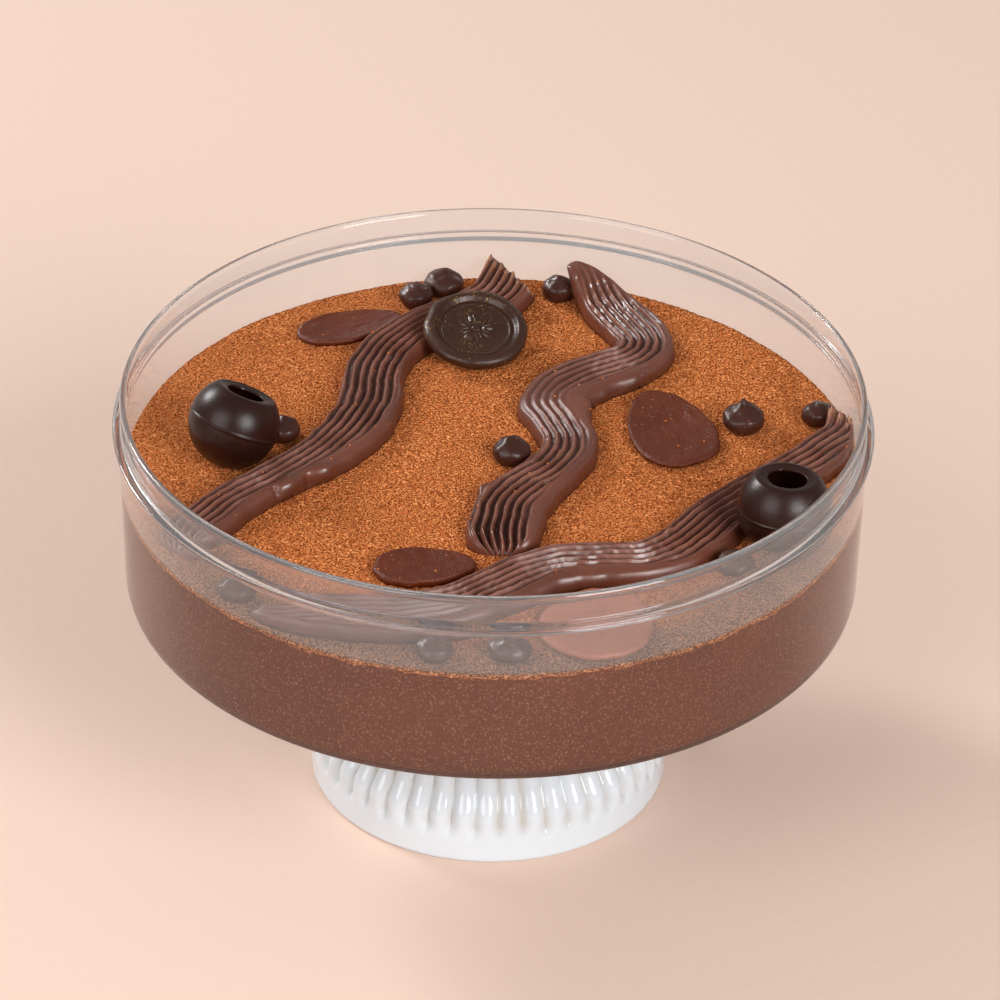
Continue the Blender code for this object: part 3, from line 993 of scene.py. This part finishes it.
            # The second value is the painted shade and the third the painted highlight on the crests.
            rise, valley, crest_highlight = self.rise(s, half, depth, band, run)
        else:
            s = 1.0 - 2.0 * (ring - self.across) / self.under
            rise, valley, crest_highlight = 0.0, 0.0, 0.0
        edge = 1.0 + 0.055 * noise.noise(Vector((run / 6.0, 8.0 if s > 0 else 2.0, 0.0)))
        spot = Vector((x, y, lift - self.sunk))
        spot += station["right"] * (s * half * station["wide"] * edge)
        spot += station["up"] * (rise + self.sunk * (rise > 0.0)) * station["high"]
        dust = 0.0
        if self.back_end is End.TORN:
            torn = smooth_step(5.0, 0.0, station["left"])
            ragged = 1.6 * noise.noise(Vector((s * 6.0, rise * 0.6, 2.0)))
            spot += station["way"] * torn * (ragged - s * half * self.end_skew)
            dust = smooth_step(4.0, 0.0, station["left"] + 1.5 * noise.noise(Vector((s * 5.0, 3.0, 0.0))))
        lump = self.lump_at(spot.x, spot.y) * (rise > 0.0)
        spot.z += lump
        spot += station["right"] * (lump * smooth_step(0.3, 1.0, abs(s)) * (1.0 if s > 0.0 else -1.0))
        return spot * MM + Vector((0.0, 0.0, COCOA_TOP + INTO_WALL)), dust, valley, crest_highlight

    def build(self) -> bmesh.types.BMesh:
        """Make the piece.

        Returns:
            A copy of its shape, for grains to lie on.
        """
        bm = self.shape()
        kept = bm.copy()
        finished("combed_" + self.name, bm, GANACHE.material(), "ganache", self.name)
        return kept


def ribbons() -> list[Ribbon]:
    """Give the three ribbons."""
    left = Ribbon(
        "ribbon_left",
        [
            (-81.0, -45.4, 7.2, 0.0, 1.3, 3.5), (-74.8, -35.0, 7.6, 0.0, 1.3, 3.5),
            (-68.0, -25.0, 7.2, 0.0, 1.3, 3.5), (-59.6, -15.8, 6.9, 0.0, 1.0, 4.0),
            (-50.6, -6.8, 7.6, 0.0, 1.0, 4.5), (-42.8, 2.6, 8.6, 0.0, 1.2, 4.5),
            (-37.2, 13.6, 9.3, 0.0, 1.5, 3.8), (-34.3, 24.8, 9.1, 0.0, 1.4, 2.2),
            (-33.8, 36.0, 8.7, 0.0, 1.4, 1.8), (-32.3, 46.5, 8.6, 0.0, 1.4, 2.0),
            (-28.5, 56.0, 8.6, 0.0, 1.4, 2.5), (-22.0, 64.5, 8.8, 0.0, 1.4, 2.5),
            (-13.4, 72.0, 8.8, 0.0, 1.5, 2.5), (-5.2, 78.6, 8.8, 0.0, 1.6, 2.8),
            (1.0, 84.6, 9.0, 0.8, 1.6, 2.8), (4.6, 91.2, 9.2, 4.2, 1.5, 2.5),
        ],
        back_end=End.TORN, end_skew=0.45,
        lumps=[
            (-44.5, -11.5, 3.6, 1.3), (-53.0, -19.5, 3.8, 1.2), (-48.4, -15.5, 1.7, -1.1),
            (-57.5, -22.0, 0.9, -0.9), (-48.0, 8.0, 1.5, 0.5), (-26.0, 30.0, 3.0, 0.5),
        ],
        wet_spots=[(-45.0, -12.0, 5.0), (-53.0, -18.5, 5.0)],
    )
    middle = Ribbon(
        "ribbon_middle",
        [
            (2.6, -46.0, 8.6, 0.0, 2.4, 3.5), (3.0, -40.0, 9.8, 0.0, 2.3, 4.0),
            (3.7, -33.0, 10.2, 0.0, 1.8, 4.5), (5.9, -24.2, 10.2, 0.0, 1.5, 5.0),
            (10.4, -15.6, 9.3, 0.0, 1.3, 4.8), (16.0, -7.8, 8.0, 0.0, 1.2, 4.2),
            (19.8, 0.2, 7.8, 0.0, 1.1, 3.6), (20.6, 8.0, 8.0, 0.0, 1.0, 3.5),
            (18.4, 16.5, 8.6, 0.0, 0.75, 5.5), (16.3, 25.0, 9.8, 0.0, 0.55, 7.5),
            (18.6, 33.0, 9.8, 0.0, 0.6, 7.0), (25.0, 40.0, 9.7, 0.0, 0.85, 5.0),
            (33.5, 45.8, 9.3, 0.0, 1.1, 4.5), (40.2, 52.2, 8.6, 0.0, 1.1, 3.2),
            (42.0, 60.0, 8.5, 0.0, 1.1, 2.6), (38.8, 68.5, 8.8, 0.0, 1.2, 2.4),
            (33.4, 77.0, 8.4, 0.3, 1.0, 2.8), (28.8, 84.5, 6.9, 2.0, 0.7, 2.4),
            (24.4, 89.8, 4.8, 5.6, 0.35, 2.0), (20.8, 92.2, 3.0, 9.4, 0.1, 1.5),
        ],
        lip=2.2, nose=5.0,
        lumps=[
            (26.5, 24.0, 2.8, 1.3), (31.0, 30.0, 2.4, 1.3), (40.0, 38.0, 3.6, 1.2),
            (-2.5, -19.0, 2.0, 1.2), (9.0, -3.0, 1.8, 0.6), (35.5, 34.0, 1.3, -0.9),
        ],
        wet_spots=[(25.0, 86.0, 9.0), (33.0, 72.0, 9.0), (3.0, -44.0, 9.0), (43.0, 40.0, 6.0)],
    )
    front = Ribbon(
        "ribbon_front",
        [
            (-60.8, -73.3, 2.4, 0.0, 0.3, 1.0), (-54.0, -75.6, 4.6, 0.0, 0.7, 1.5),
            (-45.0, -77.0, 7.0, 0.0, 1.0, 2.0), (-33.0, -77.5, 8.0, 0.0, 1.1, 2.4),
            (-20.0, -76.5, 8.5, 0.0, 1.2, 2.6), (-8.0, -72.5, 9.0, 0.0, 1.4, 3.0),
            (1.0, -66.0, 9.2, 0.0, 1.5, 3.5), (9.0, -59.0, 9.2, 0.0, 1.5, 4.5),
            (18.0, -53.8, 9.0, 0.0, 1.2, 5.0), (28.0, -52.0, 8.6, 0.0, 1.1, 5.0),
            (38.0, -51.0, 8.2, 0.0, 1.1, 4.0), (47.0, -46.5, 8.6, 0.0, 1.2, 3.0),
            (54.5, -38.0, 9.0, 0.0, 1.5, 2.8), (61.0, -28.0, 8.8, 0.0, 1.6, 2.5),
            (69.0, -18.5, 8.0, 0.0, 1.7, 2.0), (78.2, -9.2, 7.9, 0.0, 1.5, 2.0),
            (86.2, -0.6, 7.4, 0.2, 1.4, 2.0), (91.2, 7.6, 6.2, 0.8, 1.2, 1.5),
            (93.8, 13.4, 4.4, 2.4, 1.0, 1.0), (94.4, 18.2, 3.2, 5.6, 0.8, 1.0),
        ],
        nose=7.0, back_end=End.TORN, end_skew=0.5,
        lumps=[(46.5, -40.0, 1.6, 0.8)],
        wet_spots=[(22.0, -56.0, 9.0), (36.0, -53.0, 9.0), (50.0, -45.0, 7.0), (86.0, 0.0, 7.0)],
    )
    return [left, middle, front]


# ---------------------------------------------------------------- toppings


@dataclass
class Dab:
    """A flat dab of glossy chocolate, dished on top, with a rounded uneven edge."""

    name: str
    half_length: float
    half_width: float
    turn: float
    narrowing: float
    dish: float
    lobes: float = 0.0
    lobe_turn: float = 0.0
    reach: tuple[float, float] = (0.0, 0.0)
    finish: Chocolate = GLOSSY
    steps: int = 96

    def build(self) -> bmesh.types.BMesh:
        """Turn a dished disc, then stretch, narrow and turn it.

        Returns:
            A copy of its shape, for grains to lie on.
        """
        low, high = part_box(self.name)
        thick = (high.z - low.z) / MM
        centre = (low + high) / 2.0
        profile = [(0.0, -0.4), (0.93, -0.4)]
        profile += [(0.90 + 0.10 * cos(a), thick * (0.42 + 0.40 * sin(a))) for a in self.turns(-1.4, 1.3, 9)]
        profile += [(r, thick * (0.86 - self.dish * (1.0 - r * r) * 0.8)) for r in self.fractions(0.88, 0.0, 22)]
        bm = turned(profile, self.steps)
        for vert in bm.verts:
            angle = atan2(vert.co.y, vert.co.x)
            outline = 1.0 + 0.05 * noise.noise(Vector((2.2 * cos(angle), 2.2 * sin(angle), len(self.name))))
            outline += self.lobes * (cos(3.0 * (angle + self.turn - self.lobe_turn)) - 0.3)
            x, y = vert.co.x * outline, vert.co.y * outline
            spot = Vector((x * 4.0, y * 4.0, float(len(self.name))))
            bump = 0.26 * noise.noise(spot) + 0.08 * noise.noise(spot * 3.0) + 0.04 * noise.noise(spot * 9.0)
            bump += 0.14 * noise.noise(Vector((x * 2.0, y * 14.0, spot.z)))
            vert.co.x = x * self.half_length
            vert.co.y = y * self.half_width * (1.0 + self.narrowing * x)
            if vert.co.z > 0.0:
                vert.co.z += bump
        middle = (centre.x + self.reach[0] * MM, centre.y + self.reach[1] * MM, low.z)
        place = Matrix.Translation(middle) @ Matrix.Rotation(self.turn, 4, "Z")
        bmesh.ops.transform(bm, matrix=place @ Matrix.Scale(MM, 4), verts=bm.verts)
        kept = bm.copy()
        finished("glossy_" + self.name, bm, self.finish.material(), "glossy_chocolate", self.name)
        return kept

    @staticmethod
    def turns(start: float, end: float, count: int) -> list[float]:
        """Space angles evenly."""
        return [start + (end - start) * i / (count - 1) for i in range(count)]

    @staticmethod
    def fractions(start: float, end: float, count: int) -> list[float]:
        """Space shares of the radius evenly."""
        return [start + (end - start) * i / (count - 1) for i in range(count)]


@dataclass
class Drop:
    """A small chocolate drop: round at the foot, drawn up to a peak."""

    name: str
    peak: float
    growth: float = 1.0
    steps: int = 40

    def build(self) -> None:
        """Turn the drop inside its node's box, and roughen it."""
        low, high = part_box(self.name)
        wide = (high.x - low.x) / 2.0
        deep = (high.y - low.y) / 2.0
        tall = high.z - low.z
        shoulder = 0.62 - 0.10 * self.peak
        profile = [
            (0.0, 1.0), (0.10 - 0.05 * self.peak, 0.995), (0.34 - 0.16 * self.peak, 0.94 - 0.07 * self.peak),
            (0.70 - 0.16 * self.peak, 0.78 - 0.10 * self.peak), (0.91, shoulder * 0.98),
            (1.0, shoulder * 0.58), (0.91, 0.14), (0.70, -0.04), (0.0, -0.04),
        ]
        bm = turned(rounded(rounded(profile, 0.3, 4), 0.06, 2), self.steps)
        mark = float(self.name[-2:])
        lean = Vector((cos(mark * 2.4), sin(mark * 2.4), 0.0)) * 0.16 * self.peak
        for vert in bm.verts:
            up = max(0.0, vert.co.z)
            vert.co += lean * up * up
            spot = vert.co * 2.2 + Vector((mark, 0.0, 0.0))
            vert.co += vert.co.normalized() * (0.075 * noise.noise(spot) + 0.006 * noise.noise(spot * 4.0))
        place = Matrix.Translation(((low.x + high.x) / 2.0, (low.y + high.y) / 2.0, low.z))
        scale = Matrix.Diagonal((wide * self.growth, deep * self.growth, tall, 1.0))
        bmesh.ops.transform(bm, matrix=place @ scale, verts=bm.verts)
        finished("drop_" + self.name[-2:], bm, DROP.material(), "dark_chocolate", self.name)


@dataclass
class HollowShell:
    """A hollow truffle shell: a ball with a seam and a flat lip round its open hole."""

    name: str
    axis: Vector
    radius: float = 12.4
    lip_height: float = 9.2
    lip_radius: float = 7.7
    hole_radius: float = 5.2
    cavity_radius: float = 9.7
    seam: float = 0.22
    steps: int = 112
    centre: Vector = field(init=False)

    def __post_init__(self) -> None:
        """Find the middle of the ball from the node's box."""
        low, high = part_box(self.name)
        middle = low.z + (self.radius - 0.15) * MM
        self.centre = Vector(((low.x + high.x) / 2.0, (low.y + high.y) / 2.0, middle))

    def pressed(self, x: float, y: float, height: float) -> float:
        """Give how high the cocoa lies at a place, once the shell has sunk into it."""
        centre = self.centre
        away = hypot(x - centre.x, y - centre.y)
        reach = (self.radius + 0.1) * MM
        if away < reach:
            height = min(height, centre.z - sqrt(reach * reach - away * away))
        return height

    def build(self) -> None:
        """Turn the shell's wall, and fray the edge of its hole."""
        cavity = arc(self.cavity_radius, -pi / 2, 1.0, 26)
        lip = [
            (self.hole_radius, self.lip_height - 1.0), (self.hole_radius + 0.05, self.lip_height - 0.45),
            (self.hole_radius + 0.45, self.lip_height - 0.30), (self.lip_radius - 0.7, self.lip_height - 0.10),
            (self.lip_radius - 0.35, self.lip_height + 0.10), (self.lip_radius, self.lip_height + 0.05),
        ]
        edge = 0.045
        upper = arc(self.radius, 0.82, edge, 26)
        bead = [
            (self.radius + self.seam * sin(pi * i / 6), self.radius * edge * cos(pi * i / 6) * 0.6)
            for i in range(1, 6)
        ]
        lower = arc(self.radius - 0.06, -edge, -pi / 2, 34)
        profile = rounded([(r * MM, z * MM) for r, z in cavity + lip + upper + bead + lower], 0.12 * MM, 2)
        bm = turned(profile, self.steps)
        for vert in bm.verts:
            away = (Vector((hypot(vert.co.x, vert.co.y), vert.co.z)) / MM) - Vector(
                (self.hole_radius, self.lip_height - 0.5)
            )
            fray = exp(-(away.length / 0.8) ** 2)
            spot = vert.co / (1.3 * MM)
            vert.co += Vector((vert.co.x, vert.co.y, 0.0)).normalized() * fray * 0.22 * MM * noise.noise(spot)
            vert.co += vert.co.normalized() * 0.05 * MM * noise.noise(vert.co / (6.0 * MM))
        bmesh.ops.transform(bm, matrix=Matrix.Translation(self.centre) @ facing(self.axis), verts=bm.verts)
        finished("hollow_" + self.name, bm, DARK.material(), "dark_chocolate", self.name)


@dataclass
class Seal:
    """A pressed chocolate disc: a thick uneven rim, a ring and a small rosette."""

    axis: Vector = field(default_factory=lambda: Vector((0.07, -0.25, 0.965)))
    radius: float = 14.7
    thickness: float = 4.2
    field_drop: float = 1.4
    petals: int = 8
    steps: int = 168

    def face(self, out: float, angle: float) -> float:
        """Give the height of the pressed face.

        Args:
            out: The distance from the middle.
            angle: The angle round the middle.

        Returns:
            The height over the middle of the disc's thickness.
        """
        high = self.thickness / 2.0
        uneven = 0.35 * noise.noise(Vector((1.6 * cos(angle), 1.6 * sin(angle), 7.0)))
        rim = smooth_step(10.4, 12.2, out) * (self.field_drop + 0.25 * uneven)
        ring = 0.45 * exp(-(((out - 9.6) / 0.42) ** 2))
        reach = 6.6 * (0.55 + 0.45 * abs(cos(self.petals * angle / 2.0)))
        petal = 0.62 * smooth_step(reach, reach * 0.62, out) * smooth_step(1.3, 2.4, out)
        vein = 0.30 * exp(-((sin(self.petals * angle / 2.0) * out / 0.5) ** 2)) * smooth_step(1.6, 2.8, out)
        boss = 0.75 * sqrt(max(0.0, 1.0 - (out / 1.45) ** 2))
        rough_face = 0.05 * noise.noise(Vector((out * cos(angle), out * sin(angle), 0.0)))
        return high - self.field_drop + rim + ring + petal - vein * (petal > 0.1) + boss + rough_face

    def build(self) -> None:
        """Turn the disc, press its face and let its rim bulge unevenly."""
        low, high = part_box("seal")
        rim = self.radius - 1.9
        profile = [(rim * i / 44, 0.0) for i in range(45)]
        profile += [(rim + 1.9 * sin(a), 1.9 * cos(a)) for a in [pi * i / 12 for i in range(1, 12)]]
        profile += [(rim, -self.thickness / 2.0), (0.0, -self.thickness / 2.0)]
        bm = turned(profile, self.steps)
        for vert in bm.verts:
            out = hypot(vert.co.x, vert.co.y)
            angle = atan2(vert.co.y, vert.co.x)
            if vert.co.z == 0.0:
                vert.co.z = self.face(out, angle)
            bulge = 0.85 * noise.noise(Vector((1.7 * cos(angle), 1.7 * sin(angle), 1.0)))
            bulge += 0.15 * noise.noise(Vector((5.0 * cos(angle), 5.0 * sin(angle), 1.0)))
            share = 1.0 + bulge * smooth_step(11.0, 14.0, out) / self.radius
            vert.co.x *= share
            vert.co.y *= share
        centre = (low + high) / 2.0
        place = Matrix.Translation(centre) @ facing(self.axis) @ Matrix.Scale(MM, 4)
        bmesh.ops.transform(bm, matrix=place, verts=bm.verts)
        bmesh.ops.recalc_face_normals(bm, faces=bm.faces)
        finished("pressed_seal", bm, SEAL_CHOCOLATE.material(), "seal_chocolate", "seal")


@dataclass
class LooseGrains:
    """Small clumps of cocoa that lie loose on the dusting and the chocolates."""

    beds: list[bmesh.types.BMesh]
    radius: float = 97.0
    count: int = 3200
    smallest: float = 0.12
    largest: float = 0.34
    kept_on_chocolate: float = 0.10

    def build(self) -> None:
        """Drop grains on whatever lies highest, all in one mesh."""
        trees = [BVHTree.FromBMesh(bed) for bed in self.beds]
        draw = Random(SEED)
        bm = bmesh.new()
        batch = bmesh.new()
        carrier = bpy.data.meshes.new("grain_batch")
        for number in range(self.count):
            out = self.radius * sqrt(draw.random()) * MM
            angle = tau * draw.random()
            size = draw.uniform(self.smallest, self.largest) * MM
            top = Vector((out * cos(angle), out * sin(angle), TUB_HIGH.z))
            hits = [tree.ray_cast(top, Vector((0.0, 0.0, -1.0)))[0] for tree in trees]
            found = [hit.z for hit in hits if hit is not None]
            on_chocolate = any(hit is not None for hit in hits[1:])
            if not found or (on_chocolate and draw.random() > self.kept_on_chocolate):
                continue
            stretch = Matrix.Diagonal([draw.uniform(0.7, 1.3) for _ in range(3)] + [1.0])
            place = Matrix.Translation((top.x, top.y, max(found) + size * 0.4)) @ stretch
            bmesh.ops.create_icosphere(batch, subdivisions=1, radius=size, matrix=place)
            if number % 50 == 49:
                batch.to_mesh(carrier)
                bm.from_mesh(carrier)
                batch.clear()
        batch.free()
        bpy.data.meshes.remove(carrier)
        finished("loose_grains", bm, LOOSE_COCOA.material(), "cocoa_powder")
        for bed in self.beds:
            bed.free()


# ---------------------------------------------------------------- studio


@dataclass
class Studio:
    """A pale table, soft lights and the camera."""

    eye: Vector = field(default_factory=lambda: Vector((0.0021, -1.0244, 0.7468)))
    pitch: float = 32.83
    roll: float = 0.99
    lens: float = 161.8
    floor_size: float = 12.0

    def build(self) -> None:
        """Set the table, the lights, the sky and the camera."""
        self.lay_table()
        self.light_sky()
        self.hang_light("key_light", Vector((-1.60, 1.32, 1.20)), 0.56, 31.0, (1.0, 1.0, 1.0))
        self.hang_light("right_light", Vector((1.00, -1.32, 0.98)), 0.80, 25.0, (1.0, 1.0, 1.0))
        self.hang_light("left_light", Vector((-1.10, -1.30, 1.15)), 1.20, 17.0, (1.0, 1.0, 1.0))
        self.set_camera()

    def lay_table(self) -> None:
        """Lay a wide plain table top at the foot's bottom."""
        bm = bmesh.new()
        bmesh.ops.create_grid(bm, x_segments=1, y_segments=1, size=self.floor_size)
        mesh = bpy.data.meshes.new("table_top")
        bm.to_mesh(mesh)
        bm.free()
        mesh.materials.append(TABLE.material())
        table = bpy.data.objects.new("table_top", mesh)
        bpy.context.scene.collection.objects.link(table)

    def light_sky(self) -> None:
        """Fill the room with soft even light."""
        world = bpy.data.worlds.new("studio_air")
        world.use_nodes = True
        sky = world.node_tree.nodes["Background"]
        sky.inputs["Color"].default_value = (1.0, 0.97, 0.95, 1.0)
        sky.inputs["Strength"].default_value = 0.32
        bpy.context.scene.world = world
        bpy.context.scene.view_settings.view_transform = "Standard"

    def hang_light(self, name: str, spot: Vector, size: float, power: float, color: Color) -> None:
        """Hang a soft lamp that faces the tub.

        Args:
            name: The lamp's name.
            spot: Where it hangs.
            size: The side of its square.
            power: Its power in watts.
            color: Its colour.
        """
        lamp = bpy.data.lights.new(name, "AREA")
        lamp.shape = "SQUARE"
        lamp.size = size
        lamp.energy = power
        lamp.color = color
        holder = bpy.data.objects.new(name, lamp)
        aim = spot - Vector((0.0, 0.0, COCOA_TOP))
        holder.matrix_world = Matrix.Translation(spot) @ facing(aim)
        bpy.context.scene.collection.objects.link(holder)

    def set_camera(self) -> None:
        """Look down on the tub from the front."""
        camera = bpy.data.cameras.new("camera")
        camera.lens = self.lens
        camera.sensor_width = 36.0
        holder = bpy.data.objects.new("camera", camera)
        look = Matrix.Rotation(radians(90.0 - self.pitch), 4, "X")
        holder.matrix_world = Matrix.Translation(self.eye) @ look @ Matrix.Rotation(radians(self.roll), 4, "Z")
        bpy.context.scene.collection.objects.link(holder)
        bpy.context.scene.camera = holder


# ---------------------------------------------------------------- all together

DABS = [
    Dab("dab_back_left", 15.6, 7.6, 0.42, -0.22, 0.70, reach=(2.4, 2.4)),
    Dab("dab_right", 19.8, 12.0, 1.80, -0.16, 0.50, lobes=0.022, lobe_turn=-0.10, reach=(-0.7, 0.0)),
    Dab("dab_front_left", 13.6, 8.0, 0.10, -0.22, 0.40),
    Dab("dab_front_right", 15.3, 14.2, 1.15, -0.10, 0.10, finish=SMEARED),
]
PEAKS = [0.1, 1.0, 0.3, 0.2, 0.2, 1.0, 0.1, 0.3, 0.8, 0.2, 0.5]
GROWTHS = [1.2, 1.15, 1.0, 1.0, 1.28, 1.0, 1.0, 1.0, 1.0, 1.0, 1.0]


def main() -> None:
    """Build the pieces in order."""
    Studio().build()
    tub = Tub()
    shells = [
        HollowShell("truffle_shell_left", Vector((0.357, 0.296, 0.882))),
        HollowShell("truffle_shell_right", Vector((0.060, 0.071, 0.995))),
    ]
    filling = Filling(tub, shells)
    tub.build()
    filling.build_mousse()
    Foot().build()
    beds = [filling.build_cocoa()]
    beds += [ribbon.build() for ribbon in ribbons()]
    beds += [dab.build() for dab in DABS]
    for number, (peak, growth) in enumerate(zip(PEAKS, GROWTHS), 1):
        Drop(f"chip_{number:02d}", peak, growth).build()
    for shell in shells:
        shell.build()
    Seal().build()
    LooseGrains(beds).build()


if __name__ == "__main__":
    main()
